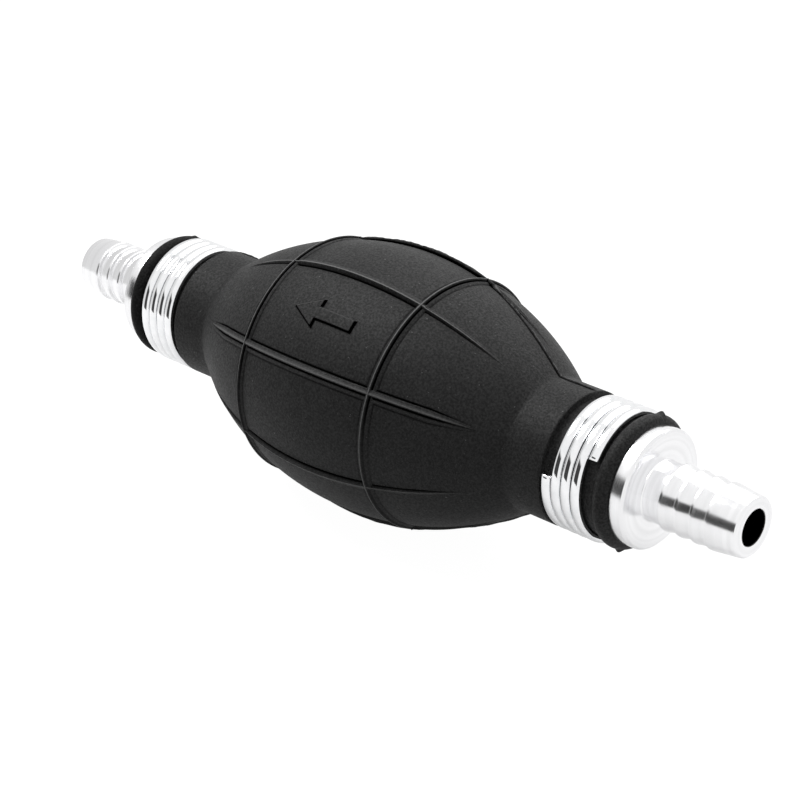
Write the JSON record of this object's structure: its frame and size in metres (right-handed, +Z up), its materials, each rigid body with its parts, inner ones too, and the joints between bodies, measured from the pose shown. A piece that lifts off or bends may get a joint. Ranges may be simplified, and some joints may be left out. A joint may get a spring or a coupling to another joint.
{
  "type": "siphon bulb pump",
  "caption": "Hand-squeezed rubber bulb pump for liquids, with a barbed metal hose end, a wire coil clamp and a spring check valve at each neck, and a flow arrow.",
  "frame": {"origin": "middle of the bulb, on the pump's axis", "axes": "+X along the pump to the inlet end, so the liquid flows towards -X; +Z up; the flow arrow is on the front (-Y) side, 48.2 degrees up"},
  "size_m": [0.165, 0.0504, 0.0504],
  "materials": {
    "bulb_rubber": "matte, finely grained",
    "turned_aluminium": "bright turned",
    "bright_wire": "polished",
    "seal_rubber": "smooth",
    "spring_steel": "satin",
    "valve_plastic": "natural acetal"
  },
  "bodies": {
    "housing": {"bulb": "bulb_rubber", "inlet_hose_end": "turned_aluminium", "outlet_hose_end": "turned_aluminium", "inlet_coil_clamp": "bright_wire", "outlet_coil_clamp": "bright_wire", "inlet_valve_seat": "turned_aluminium", "outlet_valve_seat": "turned_aluminium", "inlet_seat_o_ring": "seal_rubber", "outlet_seat_o_ring": "seal_rubber", "inlet_valve_spring": "spring_steel", "outlet_valve_spring": "spring_steel", "inlet_poppet_guide": "valve_plastic", "outlet_poppet_guide": "valve_plastic", "inlet_snap_ring": "spring_steel", "outlet_snap_ring": "spring_steel"},
    "top_wall": {"bulb_top_wall": "bulb_rubber"},
    "bottom_wall": {"bulb_bottom_wall": "bulb_rubber"},
    "inlet_valve": {"inlet_poppet": "valve_plastic", "inlet_valve_disc": "seal_rubber"},
    "outlet_valve": {"outlet_poppet": "valve_plastic", "outlet_valve_disc": "seal_rubber"}
  },
  "joints": [
    {"name": "squeeze_top", "type": "slide", "parent": "housing", "child": "top_wall", "axis": [0, 0, -1], "range_m": [0, 0.008], "stiffness_N_per_m": 2500},
    {"name": "squeeze_bottom", "type": "slide", "parent": "housing", "child": "bottom_wall", "axis": [0, 0, 1], "range_m": [0, 0.008], "stiffness_N_per_m": 2500},
    {"name": "inlet_valve_lift", "type": "slide", "parent": "housing", "child": "inlet_valve", "axis": [-1, 0, 0], "range_m": [0, 0.0024], "stiffness_N_per_m": 120, "springref_m": -0.002, "deforming": ["inlet_valve_spring"]},
    {"name": "outlet_valve_lift", "type": "slide", "parent": "housing", "child": "outlet_valve", "axis": [-1, 0, 0], "range_m": [0, 0.0024], "stiffness_N_per_m": 120, "springref_m": -0.002, "deforming": ["outlet_valve_spring"]}
  ],
  "couplings": [
    {"joint": "squeeze_bottom", "follows": "squeeze_top", "ratio": 1}
  ]
}
